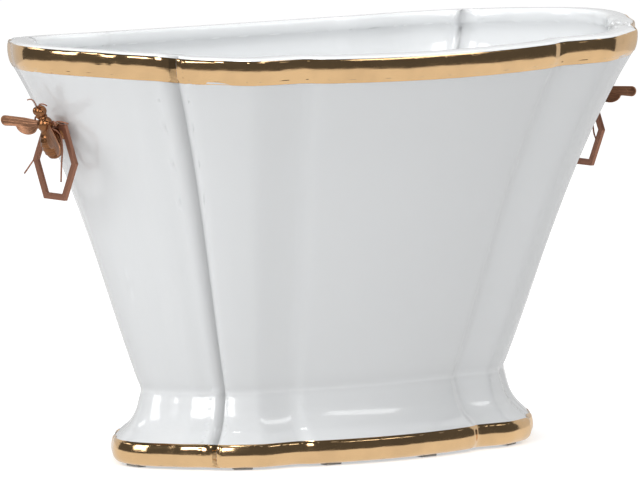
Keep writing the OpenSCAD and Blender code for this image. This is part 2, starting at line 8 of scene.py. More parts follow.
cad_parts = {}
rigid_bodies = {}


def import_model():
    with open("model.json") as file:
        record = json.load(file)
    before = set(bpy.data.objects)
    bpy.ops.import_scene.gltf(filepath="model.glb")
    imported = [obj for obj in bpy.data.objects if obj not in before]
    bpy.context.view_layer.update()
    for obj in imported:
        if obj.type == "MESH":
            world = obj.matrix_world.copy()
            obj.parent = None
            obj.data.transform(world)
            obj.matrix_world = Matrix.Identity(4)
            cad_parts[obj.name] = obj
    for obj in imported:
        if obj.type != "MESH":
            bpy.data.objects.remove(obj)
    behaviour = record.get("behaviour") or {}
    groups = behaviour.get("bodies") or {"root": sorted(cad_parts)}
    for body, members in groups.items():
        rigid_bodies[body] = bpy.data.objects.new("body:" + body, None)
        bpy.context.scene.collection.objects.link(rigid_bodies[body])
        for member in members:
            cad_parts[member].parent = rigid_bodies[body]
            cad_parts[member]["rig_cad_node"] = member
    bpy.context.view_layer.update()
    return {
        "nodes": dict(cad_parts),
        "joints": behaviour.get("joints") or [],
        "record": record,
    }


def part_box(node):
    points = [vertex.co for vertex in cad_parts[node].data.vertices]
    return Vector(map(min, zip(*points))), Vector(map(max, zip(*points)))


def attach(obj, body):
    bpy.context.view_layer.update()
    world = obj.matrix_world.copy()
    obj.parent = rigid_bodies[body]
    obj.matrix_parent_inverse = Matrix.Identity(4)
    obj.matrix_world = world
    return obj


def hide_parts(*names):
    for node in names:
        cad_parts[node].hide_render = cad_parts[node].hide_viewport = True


bl_info = {
    "name": "Porcelain planter",
    "version": (1, 0, 0),
    "blender": (4, 5, 0),
    "location": "3D View > Sidebar > Planter",
    "description": "Glazed porcelain planter with gold lustre, cast bees and hanging ring pulls",
    "category": "Object",
}

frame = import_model()
SIDES = ("left", "right")
PADS = [name for name in frame["nodes"] if name.startswith("foot_pad_")]

# Which way each wing points along its bee's y axis
WINGS = {"left": -1, "right": 1}

RIGHT_ANGLE = math.radians(90)
FULL_TURN = math.radians(360)

# Points nearer than MERGE are one point, or nearer than SEAM on a turned skin, and faces that turn less than
# FLAT are one face
MERGE = 1e-6
SEAM = 1e-5
FLAT = math.radians(0.5)

# How far a lofted skin's triangles may bend and skew to be quads, how strongly quads follow their neighbours,
# and how often they are rounded
QUAD_BEND = math.radians(70)
QUAD_SKEW = math.radians(180)
QUAD_FLOW = 2
ROUNDINGS = 2


class PlanterColours(bpy.types.PropertyGroup):
    """Colours of the planter's finishes."""
    glaze: FloatVectorProperty(
        name="Glaze", description="White of the glazed porcelain",
        subtype="COLOR", size=3, min=0, max=1, default=(0.79, 0.805, 0.815))
    gold: FloatVectorProperty(
        name="Gold", description="Fired gold lustre on the rim and foot",
        subtype="COLOR", size=3, min=0, max=1, default=(0.92, 0.61, 0.32))
    bronze: FloatVectorProperty(
        name="Bronze", description="Polished high places of the cast bees",
        subtype="COLOR", size=3, min=0, max=1, default=(0.45, 0.195, 0.08))
    patina: FloatVectorProperty(
        name="Patina", description="Darkened hollows of the cast bees",
        subtype="COLOR", size=3, min=0, max=1, default=(0.10, 0.045, 0.02))
    copper: FloatVectorProperty(
        name="Copper", description="Faces of the ring pulls",
        subtype="COLOR", size=3, min=0, max=1, default=(0.42, 0.20, 0.13))
    wing: FloatVectorProperty(
        name="Wing", description="Faces of the bees' wings",
        subtype="COLOR", size=3, min=0, max=1, default=(0.46, 0.225, 0.125))
    felt: FloatVectorProperty(
        name="Felt", description="Grey felt of the foot pads",
        subtype="COLOR", size=3, min=0, max=1, default=(0.60, 0.60, 0.59))
    rubber: FloatVectorProperty(
        name="Rubber", description="Washers on both faces of the wall",
        subtype="COLOR", size=3, min=0, max=1, default=(0.03, 0.03, 0.03))
    steel: FloatVectorProperty(
        name="Steel", description="Zinc plated studs, washers and nuts",
        subtype="COLOR", size=3, min=0, max=1, default=(0.62, 0.63, 0.65))


class PlanterSizes(bpy.types.PropertyGroup):
    """Sizes and shares of the cast bees and of the worked edges; heights are from the thorax's middle."""
    seat: FloatProperty(
        name="Washer seat", description="Distance of the outer washer's middle from the wall",
        unit="LENGTH", default=0.0006)
    hole_reach: FloatProperty(
        name="Hole's reach", description="Radius round a stud in which the porcelain's hole is found",
        unit="LENGTH", default=0.0034)
    hole_depth: FloatProperty(
        name="Hole's depth", description="Depth each way from the wall in which the hole is found",
        unit="LENGTH", default=0.012)
    bee_out: FloatProperty(
        name="Bee's line", description="Distance of the bee's middle line from the wall",
        unit="LENGTH", default=0.0108)
    bee_up: FloatProperty(
        name="Bee's height", description="Distance of the thorax's middle above the stud",
        unit="LENGTH", default=0.010)
    bee_turn: FloatProperty(
        name="Bee's turn", description="Turn of each bee about its stud, clockwise from outside",
        subtype="ANGLE", default=math.radians(6))
    head_radius: FloatProperty(
        name="Head", description="Radius of the head", unit="LENGTH", default=0.0036)
    head_up: FloatProperty(
        name="Head height", description="Height of the head's middle", unit="LENGTH", default=0.0086)
    eye_radius: FloatProperty(
        name="Eye", description="Radius of each eye", unit="LENGTH", default=0.0021)
    thorax_radius: FloatProperty(
        name="Thorax", description="Radius of the thorax", unit="LENGTH", default=0.0046)
    abdomen_radius: FloatProperty(
        name="Abdomen", description="Greatest radius of the abdomen", unit="LENGTH", default=0.0060)
    abdomen_top: FloatProperty(
        name="Abdomen's top", description="Height of the abdomen's upper end",
        unit="LENGTH", default=-0.0025)
    abdomen_tip: FloatProperty(
        name="Abdomen's tip", description="Height of the abdomen's lower tip",
        unit="LENGTH", default=-0.0228)
    band_lip: FloatProperty(
        name="Band's lip", description="How far each band's lower edge stands out",
        unit="LENGTH", default=0.0003)
    bands: IntProperty(
        name="Bands", description="Number of bands on the abdomen", min=2, max=9, default=6)
    wing_length: FloatProperty(
        name="Wing", description="Length of each wing from its slot", unit="LENGTH", default=0.028)
    wing_width: FloatProperty(
        name="Wing's width", description="Width of the fore and hind wings together",
        unit="LENGTH", default=0.0094)
    wing_rim: FloatProperty(
        name="Wing's rim", description="Width of the raised rim round each wing",
        unit="LENGTH", default=0.00055)
    wing_hollow: FloatProperty(
        name="Wing's hollow", description="Depth of the wing's field below its rim",
        unit="LENGTH", default=0.0002)
    vein_radius: FloatProperty(
        name="Vein", description="Radius of the wing's veins", unit="LENGTH", default=0.00026)
    slot_out: FloatProperty(
        name="Slot's distance", description="Share of the thorax's radius from its middle to a wing's slot",
        min=0, max=1, default=0.66)
    slot_up: FloatProperty(
        name="Slot's height", description="Share of the thorax's radius that a wing's slot lies up",
        min=0, max=1, default=0.34)
    pitch: FloatProperty(
        name="Wing's pitch", description="Turn of each wing about its length",
        subtype="ANGLE", default=math.radians(20))
    left_tilt: FloatProperty(
        name="Left tilt", description="Tilt of the left wing away from the wall",
        subtype="ANGLE", default=math.radians(13.5))
    right_tilt: FloatProperty(
        name="Right tilt", description="Tilt of the right wing away from the wall",
        subtype="ANGLE", default=math.radians(28))
    left_lift: FloatProperty(
        name="Left lift", description="Lift of the left wing's tip",
        subtype="ANGLE", default=math.radians(6))
    right_drop: FloatProperty(
        name="Right drop", description="Drop of the right wing's tip",
        subtype="ANGLE", default=math.radians(12))
    ring_chamfer: FloatProperty(
        name="Ring's chamfer", description="Width of the chamfers on the ring pulls",
        unit="LENGTH", default=0.00035)
    small_edge: FloatProperty(
        name="Small edges", description="Width of the eased edges on the hardware",
        unit="LENGTH", default=0.00012)
    pad_edge: FloatProperty(
        name="Pad's edge", description="Width of the rounded edges of the felt pads",
        unit="LENGTH", default=0.0005)


class PlanterStage(bpy.types.PropertyGroup):
    """Camera, floor and lights."""
    azimuth: FloatProperty(
        name="Azimuth", description="Turn of the view from straight ahead",
        subtype="ANGLE", default=math.radians(38.39))
    elevation: FloatProperty(
        name="Elevation", description="Height of the camera above the horizon",
        subtype="ANGLE", default=math.radians(5.89))
    roll: FloatProperty(
        name="Roll", description="Turn of the camera about its view",
        subtype="ANGLE", default=math.radians(0.11))
    distance: FloatProperty(
        name="Distance", description="Distance of the camera", unit="LENGTH", default=6.974)
    view_width: FloatProperty(
        name="View's width", description="Width that the picture takes in at the pot",
        unit="LENGTH", default=0.3712)
    aim_height: FloatProperty(
        name="Aim", description="Height of the picture's middle", unit="LENGTH", default=0.1219)
    aim_left: FloatProperty(
        name="Aim's shift", description="How far the picture's middle lies left of the pot's",
        unit="LENGTH", default=0.0024)
    floor: FloatProperty(
        name="Floor", description="Width of the floor", unit="LENGTH", default=12)
    floor_drop: FloatProperty(
        name="Floor's drop", description="Depth of the floor below the pads", unit="LENGTH", default=0.0002)
    floor_white: FloatProperty(
        name="Floor's white", description="Grey level of the floor to the camera", min=0, max=1, default=0.8)
    floor_glow: FloatProperty(
        name="Floor's glow", description="Light added to the floor to the camera", min=0, default=0.5)
    floor_dull: FloatProperty(
        name="Floor's bounce", description="Grey level of the floor in the light that it throws up",
        min=0, max=1, default=0.42)
    mirrored: FloatProperty(
        name="Floor's image", description="Brightness of the floor in mirror images", min=0, default=0.82)
    world: FloatProperty(
        name="World", description="Strength of the soft light from all round", min=0, default=0.62)
    dim: FloatProperty(
        name="Dim side", description="Brightness of the dark studio that the gold reflects",
        min=0, default=0.09)
    pale: FloatProperty(
        name="Pale side", description="Brightness of the studio behind the pot", min=0, default=0.62)
    dome_radius: FloatProperty(
        name="Dome's radius", description="Radius of the studio's dome", unit="LENGTH", default=3.2)
    table: FloatProperty(
        name="Table", description="Radius of the white table that the gold reflects",
        unit="LENGTH", default=1.0)
    key: FloatProperty(
        name="Key", description="Power of the large soft lamp", unit="POWER", default=16)
    side: FloatProperty(
        name="Side", description="Power of the lamp beside the left end", unit="POWER", default=9)
    top: FloatProperty(
        name="Top", description="Power of the window lamp overhead", unit="POWER", default=9)
    window: FloatProperty(
        name="Windows", description="Power of each of the two long window lamps", unit="POWER", default=2)


# Selecting and finishing

def deselect():
    bpy.ops.object.select_all(action="DESELECT")


def only(piece):
    deselect()
    piece.select_set(True)
    bpy.context.view_layer.objects.active = piece


def edit(piece, mode="FACE"):
    """Opens a piece in edit mode with nothing selected."""
    only(piece)
    bpy.ops.object.mode_set(mode="EDIT")
    bpy.ops.mesh.select_mode(type=mode)
    bpy.ops.mesh.select_all(action="DESELECT")


def pick(piece, kind, test):
    """Selects a piece's vertices, edges or faces by place while it is in edit mode."""
    bpy.ops.object.mode_set(mode="OBJECT")
    for item in getattr(piece.data, kind):
        item.select = test(item)
    bpy.ops.object.mode_set(mode="EDIT")


def done():
    bpy.ops.object.mode_set(mode="OBJECT")


def modify(piece, kind, **values):
    """Adds a modifier to a piece and applies it."""
    only(piece)
    modifier = piece.modifiers.new(kind.title(), kind)
    for key, value in values.items():
        setattr(modifier, key, value)
    bpy.ops.object.modifier_apply(modifier=modifier.name)


def ease(piece, width, segments=2, sharp=50):
    """Bevels the edges of a piece that are sharper than an angle in degrees."""
    modify(piece, "BEVEL", width=width, segments=segments, limit_method="ANGLE",
           angle_limit=math.radians(sharp))


def join(pieces, name):
    deselect()
    for piece in pieces:
        piece.select_set(True)
    bpy.context.view_layer.objects.active = pieces[0]
    bpy.ops.object.join()
    joined = bpy.context.object
    joined.name = joined.data.name = name
    return joined


def outward(piece, near=MERGE):
    """Merges a piece's doubled points, which closes its seams, and turns its faces outwards."""
    edit(piece, "VERT")
    bpy.ops.mesh.select_all(action="SELECT")
    bpy.ops.mesh.remove_doubles(threshold=near)
    bpy.ops.mesh.normals_make_consistent(inside=False)
    done()


def copies(piece, count):
    """A piece and copies of it, each with its own mesh."""
    made = [piece]
    while len(made) < count:
        only(piece)
        bpy.ops.object.duplicate()
        made.append(bpy.context.object)
    return made


def settle(piece, space):
    """Moves a piece from its own axes to its place, and puts the place in its mesh."""
    piece.matrix_world = space @ piece.matrix_world
    only(piece)
    bpy.ops.object.transform_apply(location=True, rotation=True, scale=True)


def finish(piece, name, paint, body, nodes, angle=40):
    """Names a piece, shades it, paints it and hands it to its body."""
    only(piece)
    bpy.ops.object.shade_smooth_by_angle(angle=math.radians(angle))
    piece.name = piece.data.name = name
    piece.data.materials.clear()
    piece.data.materials.append(paint)
    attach(piece, body)
    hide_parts(*nodes)


def copy_of(node):
    """A copy of a CAD node with its doubled points merged."""
    only(frame["nodes"][node])
    bpy.ops.object.duplicate()
    piece = bpy.context.object
    del piece["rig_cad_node"]
    piece.parent = None
    edit(piece, "VERT")
    bpy.ops.mesh.select_all(action="SELECT")
    bpy.ops.mesh.remove_doubles(threshold=MERGE)
    done()
    return piece


def whole_faces(piece):
    """Dissolves the triangles of each flat face."""
    edit(piece)
    bpy.ops.mesh.select_all(action="SELECT")
    bpy.ops.mesh.dissolve_limited(angle_limit=FLAT)
    done()


def round_skin(piece, hold):
    """Turns lofted triangles back to quads and rounds the skin, save at edges sharper than hold degrees."""
    edit(piece, "VERT")
    bpy.ops.mesh.select_all(action="SELECT")
    bpy.ops.mesh.tris_convert_to_quads(
        face_threshold=QUAD_BEND, shape_threshold=QUAD_SKEW, topology_influence=QUAD_FLOW)
    for _ in range(ROUNDINGS):
        bpy.ops.mesh.select_all(action="DESELECT")
        bpy.ops.mesh.edges_select_sharp(sharpness=math.radians(hold))
        bpy.ops.mesh.select_all(action="INVERT")
        bpy.ops.mesh.subdivide(number_cuts=1, smoothness=1)
    done()


def body_for(node):
    return next(body for body, names in frame["record"]["behaviour"]["bodies"].items() if node in names)


def middle(node):
    low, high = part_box(node)
    return (low + high) / 2


# Where the fittings sit

def stud_space(side):
    """A fitting's axes at its stud: x out of the wall, y to the bee's right, z up the wall."""
    outer = middle(f"{side}_outer_washer")
    out = (outer - middle(f"{side}_inner_washer")).normalized()
    hinge = next(joint for joint in frame["joints"] if joint["child"] == f"{side}_ring")
    across = -Vector(hinge["axis"]).normalized()
    space = Matrix((out, across, out.cross(across))).transposed().to_4x4()
    space.translation = outer - out * bpy.context.scene.planter_sizes.seat
    return space


def bee_space(side):
    """The same axes at the bee, turned about its stud, with z = 0 level with the thorax's middle."""
    size = bpy.context.scene.planter_sizes
    return (stud_space(side) @ Matrix.Rotation(-size.bee_turn, 4, "X")
            @ Matrix.Translation((0, 0, size.bee_up)))


def wing_space(side, wing):
    """A wing's axes: x along the wing, y towards the head, z away from the wall."""
    size = bpy.context.scene.planter_sizes
    tilt = size.left_tilt if wing == "left" else size.right_tilt
    lift = size.left_lift if wing == "left" else -size.right_drop
    root = Vector((size.bee_out, size.thorax_radius * size.slot_out, size.thorax_radius * size.slot_up))
    mirror = Matrix.Diagonal((1, WINGS[wing], 1, 1))
    turn = Matrix.Rotation(lift, 4, "X") @ Matrix.Rotation(-tilt, 4, "Z")
    lay = Matrix.Rotation(RIGHT_ANGLE, 4, "Z") @ Matrix.Rotation(RIGHT_ANGLE, 4, "X")
    pitch = Matrix.Rotation(-size.pitch, 4, "X")
    return bee_space(side) @ mirror @ Matrix.Translation(root) @ turn @ lay @ pitch


# Materials

def shader(name):
    """A new material with its node tree, its shader node and its Object coordinates."""
    paint = bpy.data.materials.new(name)
    paint.use_nodes = True
    nodes = paint.node_tree.nodes
    place = nodes.new("ShaderNodeTexCoord")
    return paint, nodes, paint.node_tree.links, nodes["Principled BSDF"], place.outputs["Object"]


def noise(nodes, links, place, scale, detail=4, rough=0.5):
    texture = nodes.new("ShaderNodeTexNoise")
    texture.inputs["Scale"].default_value = scale
    texture.inputs["Detail"].default_value = detail
    texture.inputs["Roughness"].default_value = rough
    links.new(place, texture.inputs["Vector"])
    return texture.outputs["Fac"]


def spread(nodes, links, value, low, high, start=0.0, end=1.0):
    """Maps a value to the range from low to high."""
    node = nodes.new("ShaderNodeMapRange")
    for name, number in (("From Min", start), ("From Max", end), ("To Min", low), ("To Max", high)):
        node.inputs[name].default_value = number
    links.new(value, node.inputs["Value"])
    return node.outputs["Result"]


def blend(nodes, links, share, first, second):
    """Mixes two colours by a value."""
    node = nodes.new("ShaderNodeMix")
    node.data_type = "RGBA"
    links.new(share, node.inputs["Factor"])
    for name, colour in (("A", first), ("B", second)):
        socket = next(s for s in node.inputs if s.name == name and s.type == "RGBA")
        socket.default_value = (*colour, 1)
    return next(s for s in node.outputs if s.type == "RGBA")


def bump(nodes, links, height, depth, strength=1.0, under=None):
    node = nodes.new("ShaderNodeBump")
    node.inputs["Distance"].default_value = depth
    node.inputs["Strength"].default_value = strength
    links.new(height, node.inputs["Height"])
    if under:
        links.new(under, node.inputs["Normal"])
    return node.outputs["Normal"]


def shaded(colour, share):
    return tuple(channel * share for channel in colour)


def grey(level):
    return (level, level, level, 1)


def glaze():
    """White glaze: a clear coat over porcelain, with the slow swell of a poured glaze."""
    colour = bpy.context.scene.planter_colours.glaze
    paint, nodes, links, base, place = shader("glazed_porcelain")
    cloud = noise(nodes, links, place, scale=9, detail=2)
    links.new(blend(nodes, links, cloud, colour, shaded(colour, 0.975)), base.inputs["Base Color"])
    speck = noise(nodes, links, place, scale=1400, detail=2)
    links.new(spread(nodes, links, speck, low=0.16, high=0.24), base.inputs["Roughness"])
    swell = bump(nodes, links, noise(nodes, links, place, scale=28, detail=2), depth=0.0006, strength=0.25)
    pits = bump(nodes, links, speck, depth=0.00002, strength=0.3, under=swell)
    links.new(pits, base.inputs["Normal"])
    links.new(swell, base.inputs["Coat Normal"])
    base.inputs["Coat Weight"].default_value = 1.0
    base.inputs["Coat Roughness"].default_value = 0.035
    base.inputs["IOR"].default_value = 1.52
    base.inputs["Subsurface Weight"].default_value = 0.06
    base.inputs["Subsurface Radius"].default_value = (0.004, 0.004, 0.0036)
    base.inputs["Subsurface Scale"].default_value = 0.5
    return paint


def lustre():
    """Fired gold: a thin bright film that follows the glaze, warmer where it is thick."""
    colour = bpy.context.scene.planter_colours.gold
    paint, nodes, links, base, place = shader("gold_lustre")
    cloud = noise(nodes, links, place, scale=45, detail=3)
    cloud = spread(nodes, links, cloud, low=0, high=1, start=0.35, end=0.65)
    links.new(blend(nodes, links, cloud, colour, shaded(colour, 0.9)), base.inputs["Base Color"])
    brush = nodes.new("ShaderNodeMapping")
    brush.inputs["Scale"].default_value = (1, 1, 9)
    links.new(place, brush.inputs["Vector"])
    stroke = noise(nodes, links, brush.outputs["Vector"], scale=120, detail=4, rough=0.6)
    sheen = spread(nodes, links, stroke, low=0.07, high=0.17, start=0.3, end=0.7)
    links.new(sheen, base.inputs["Roughness"])
    swell = bump(nodes, links, noise(nodes, links, place, scale=30, detail=2), depth=0.0016, strength=0.6)
    marks = bump(nodes, links, stroke, depth=0.00003, strength=0.3, under=swell)
    links.new(marks, base.inputs["Normal"])
    base.inputs["Metallic"].default_value = 1.0
    return paint


def antique(name, bright, dark, rough, grain, metal=0.9):
    """Cast metal, darkened in its hollows and rubbed bright on its high places."""
    paint, nodes, links, base, place = shader(name)
    point = nodes.new("ShaderNodeNewGeometry").outputs["Pointiness"]
    relief = spread(nodes, links, point, low=0, high=1, start=0.44, end=0.56)
    patch = noise(nodes, links, place, scale=grain, detail=5, rough=0.6)
    stain = spread(nodes, links, patch, low=-0.35, high=0.35)
    worn = nodes.new("ShaderNodeMath")
    worn.use_clamp = True
    links.new(relief, worn.inputs[0])
    links.new(stain, worn.inputs[1])
    links.new(blend(nodes, links, worn.outputs["Value"], dark, bright), base.inputs["Base Color"])
    fine = noise(nodes, links, place, scale=grain * 6, detail=3)
    links.new(spread(nodes, links, fine, low=rough * 0.7, high=rough * 1.4), base.inputs["Roughness"])
    cast = noise(nodes, links, place, scale=grain * 2.5, detail=4)
    links.new(bump(nodes, links, cast, depth=0.0002, strength=0.4), base.inputs["Normal"])
    base.inputs["Metallic"].default_value = metal
    return paint


def bronze():
    colours = bpy.context.scene.planter_colours
    return antique("antique_bronze", colours.bronze, colours.patina, rough=0.24, grain=260)


def copper():
    colour = bpy.context.scene.planter_colours.copper
    return antique("antique_copper", colour, shaded(colour, 0.5), rough=0.42, grain=160, metal=0.75)


def wing_bronze():
    colour = bpy.context.scene.planter_colours.wing
    return antique("antique_wing", colour, shaded(colour, 0.45), rough=0.38, grain=130, metal=0.75)


def felt():
    """Pressed wool: short fibres that catch the light all round."""
    colour = bpy.context.scene.planter_colours.felt
    paint, nodes, links, base, place = shader("pressed_felt")
    fibre = noise(nodes, links, place, scale=2600, detail=6, rough=0.7)
    wool = blend(nodes, links, fibre, shaded(colour, 0.75), shaded(colour, 1.25))
    links.new(wool, base.inputs["Base Color"])
    links.new(bump(nodes, links, fibre, depth=0.0003, strength=0.7), base.inputs["Normal"])
    base.inputs["Roughness"].default_value = 0.95
    base.inputs["Sheen Weight"].default_value = 0.4
    return paint


def rubber():
    """Black rubber, a little dusty."""
    colour = bpy.context.scene.planter_colours.rubber
    paint, nodes, links, base, place = shader("black_rubber")
    dust = noise(nodes, links, place, scale=900, detail=4)
    links.new(blend(nodes, links, dust, colour, shaded(colour, 2)), base.inputs["Base Color"])
    links.new(spread(nodes, links, dust, low=0.5, high=0.75), base.inputs["Roughness"])
    links.new(bump(nodes, links, dust, depth=0.00005, strength=0.3), base.inputs["Normal"])
    return paint


def steel():
    """Bright zinc plate with fine turning marks."""
    colour = bpy.context.scene.planter_colours.steel
    paint, nodes, links, base, place = shader("zinc_plate")
    bloom = noise(nodes, links, place, scale=350, detail=4)
    links.new(blend(nodes, links, bloom, shaded(colour, 0.85), colour), base.inputs["Base Color"])
    mark = noise(nodes, links, place, scale=2200, detail=2)
    links.new(spread(nodes, links, mark, low=0.2, high=0.38), base.inputs["Roughness"])
    links.new(bump(nodes, links, mark, depth=0.00002, strength=0.4), base.inputs["Normal"])
    base.inputs["Metallic"].default_value = 1.0
    return paint


# Pieces

def close_stud_holes(piece):
    """Fills the porcelain's two drilled holes, which the washers cover, so that its skin rounds evenly."""
    size = bpy.context.scene.planter_sizes
    spaces = [stud_space(side).inverted() for side in SIDES]

    def in_hole(vertex):
        local = [space @ vertex.co for space in spaces]
        return any(math.hypot(p.y, p.z) < size.hole_reach and abs(p.x) < size.hole_depth for p in local)

    edit(piece, "VERT")
    pick(piece, "vertices", in_hole)
    bpy.ops.mesh.delete(type="VERT")
    bpy.ops.mesh.select_all(action="SELECT")
    bpy.ops.mesh.fill_holes(sides=8)
    done()


class PLANTER_OT_porcelain(bpy.types.Operator):
    """Glazed porcelain body"""
    bl_idname = "planter.porcelain"
    bl_label = "Porcelain body"

    def execute(self, context):
        pot = copy_of("vessel")
        close_stud_holes(pot)
        round_skin(pot, hold=40)
        finish(pot, "porcelain_body", glaze(), body_for("vessel"), ["vessel"], angle=60)
        return {"FINISHED"}


class PLANTER_OT_lustre(bpy.types.Operator):
    """Gold lustre on the rim and the foot"""
    bl_idname = "planter.lustre"
    bl_label = "Gold lustre"

    def execute(self, context):
        paint = lustre()
        for node in ("rim_gold_band", "foot_gold_band"):
            band = copy_of(node)
            round_skin(band, hold=60)
            name = node.replace("gold_band", "lustre")
            finish(band, name, paint, body_for(node), [node], angle=60)
        return {"FINISHED"}


# Shares of half the abdomen: heights of the tail's end and of the first band, and the room over the last band
TAIL, FIRST_BAND, LAST_BAND = 0.05, 0.16, 0.12

# A band from its lower edge up, in shares of its height and of the lip: where its girth is taken, where the
# point lies and how far it stands out
BAND_SHAPE = ((0, 0, -1), (0, 0.02, 0.6), (0.12, 0.12, 1), (0.25, 0.25, 0.3), (0.6, 0.6, 0))

# The collar under the head, in shares of the head's radius: its drop from the head's middle, and its outline
COLLAR_DROP = 1.05
COLLAR_SHAPE = ((0.68, -0.1), (0.83, 0), (0.83, 0.1), (0.68, 0.2))

# Angles of the points on the round of the thorax and of the head, in degrees above the horizontal
THORAX_ANGLES = range(-40, 61, 10)
HEAD_ANGLES = range(-40, 81, 12)


def arc(radius, height, angles):
    """Points of a half outline on a circle round the middle line."""
    turns = [math.radians(angle) for angle in angles]
    return [(radius * math.cos(turn), height + radius * math.sin(turn)) for turn in turns]


def bee_profile(size):
    """Half outline of the bee from its tail to its head: distance from its middle line and height."""
    centre = (size.abdomen_top + size.abdomen_tip) / 2
    half = (size.abdomen_top - size.abdomen_tip) / 2

    def girth(z):
        return size.abdomen_radius * math.sqrt(max(0, 1 - ((z - centre) / half) ** 2))

    tail = size.abdomen_tip + half * TAIL
    first = size.abdomen_tip + half * FIRST_BAND
    step = (size.abdomen_top - half * LAST_BAND - first) / size.bands
    points = [(0, size.abdomen_tip), (girth(tail), tail)]
    for band in range(size.bands):
        low = first + band * step
        points += [(girth(low + step * at) + size.band_lip * out, low + step * up)
                   for at, up, out in BAND_SHAPE]
    points += arc(size.thorax_radius, 0, THORAX_ANGLES)
    head = size.head_radius
    collar = size.head_up - head * COLLAR_DROP
    points += [(head * out, collar + head * up) for out, up in COLLAR_SHAPE]
    points += arc(head, size.head_up, HEAD_ANGLES)
    return points + [(0, size.head_up + head)]


def turned(points, steps=56):
    """Spins a half outline round the z axis into a closed skin."""
    bpy.ops.mesh.primitive_plane_add(size=1)
    piece = bpy.context.object
    edit(piece, "VERT")
    bpy.ops.mesh.select_all(action="SELECT")
    bpy.ops.mesh.merge(type="CENTER")
    start = Vector((points[0][0], 0, points[0][1]))
    bpy.ops.transform.translate(value=start)
    for (r0, z0), (r1, z1) in zip(points, points[1:]):
        bpy.ops.mesh.extrude_region_move(TRANSFORM_OT_translate={"value": (r1 - r0, 0, z1 - z0)})
    bpy.ops.mesh.select_all(action="SELECT")
    bpy.ops.mesh.spin(steps=steps, angle=FULL_TURN, center=(0, 0, 0), axis=(0, 0, 1))
    done()
    outward(piece, SEAM)
    return piece


def ball(radius, place, scale, segments=32):
    bpy.ops.mesh.primitive_uv_sphere_add(
        segments=segments, ring_count=segments // 2, radius=radius, location=place, scale=scale)
    return bpy.context.object


# An eye: its turn from straight out, and shares of the head's radius for its distance and its rise
EYE_TURN = math.radians(60)
EYE_REACH, EYE_RISE = 0.70, 0.08

# The knob at a wing's root, in shares of the thorax's radius: its distance, rise and radius
KNOB_REACH, KNOB_RISE, KNOB_RADIUS = 0.72, 0.34, 0.34

# The face, in shares of the head's radius: its distance, drop and radius
FACE_REACH, FACE_DROP, FACE_RADIUS = 0.72, 0.45, 0.42

# Stretch of each of these balls along its three axes, and the segments of the small ones
EYE_FORM, KNOB_FORM, FACE_FORM = (1, 1, 1.25), (1, 1, 0.8), (1, 0.8, 1.3)
SMALL = 24


def bee_balls(size):
    """The eyes, the knobs at the wings' roots and the face, on the bee's own axes."""
    head, thorax = size.head_radius, size.thorax_radius
    balls = []
    for hand in WINGS.values():
        turn = EYE_TURN * hand
        reach = head * EYE_REACH
        eye = (reach * math.cos(turn), reach * math.sin(turn), size.head_up + head * EYE_RISE)
        knob = (0, hand * thorax * KNOB_REACH, thorax * KNOB_RISE)
        balls.append(ball(size.eye_radius, eye, EYE_FORM))
        balls.append(ball(thorax * KNOB_RADIUS, knob, KNOB_FORM, SMALL))
    face = (head * FACE_REACH, 0, size.head_up - head * FACE_DROP)
    balls.append(ball(head * FACE_RADIUS, face, FACE_FORM, SMALL))
    return balls


class PLANTER_OT_bees(bpy.types.Operator):
    """Cast bodies of the two bees"""
    bl_idname = "planter.bees"
    bl_label = "Bees"

    def execute(self, context):
        size = context.scene.planter_sizes
        paint = bronze()
        cast = join([turned(bee_profile(size)), *bee_balls(size)], "bee_cast")
        for side, bee in zip(SIDES, copies(cast, len(SIDES))):
            settle(bee, bee_space(side) @ Matrix.Translation((size.bee_out, 0, 0)))
            modify(bee, "SUBSURF", levels=1, render_levels=1)
            finish(bee, f"{side}_bee_cast", paint, "planter", [f"{side}_bee_body"], angle=50)
        return {"FINISHED"}


# A wing's two broad faces are those with at least this share of the largest face's area
BROAD = 0.9

# Width of the slope inside a wing's rim, as a share of the rim's width
SLOPE = 0.4

# A wing's veins as shares of its length and of its full width, from the root
VEIN_SHARES = (
    ((0, -0.1), (0.3, -0.12), (0.6, -0.1), (0.88, -0.14)),
    ((0, -0.18), (0.3, -0.26), (0.62, -0.3), (0.95, -0.34)),
    ((0.3, -0.26), (0.5, -0.42), (0.68, -0.5), (0.86, -0.52)),
    ((0.5, -0.12), (0.55, -0.2), (0.62, -0.3)),
    ((0.74, -0.12), (0.76, -0.2), (0.8, -0.32), (0.8, -0.5)),
    ((0, -0.24), (0.18, -0.4), (0.36, -0.62), (0.55, -0.74)),
    ((0.05, -0.26), (0.14, -0.5), (0.26, -0.76), (0.36, -0.9)),
    ((0.3, -0.52), (0.42, -0.52), (0.52, -0.5)),
)


def vein(route, size):
    """One vein, a thin tube through its points in the wing's middle plane."""
    bpy.ops.curve.primitive_nurbs_path_add(location=(0, 0, 0))
    tube = bpy.context.object
    line = tube.data.splines[0]
    while len(line.points) < len(route):
        line.points.add(1)
    points = [(x * size.wing_length, y * size.wing_width, 0) for x, y in route]
    points += [points[-1]] * (len(line.points) - len(points))
    for point, place in zip(line.points, points):
        point.co = (*place, 1)
    line.use_endpoint_u = True
    line.order_u = 3
    tube.data.bevel_depth = size.vein_radius
    tube.data.bevel_resolution = 2
    tube.data.resolution_u = 6
    tube.data.use_fill_caps = True
    only(tube)
    bpy.ops.object.convert(target="MESH")
    return bpy.context.object


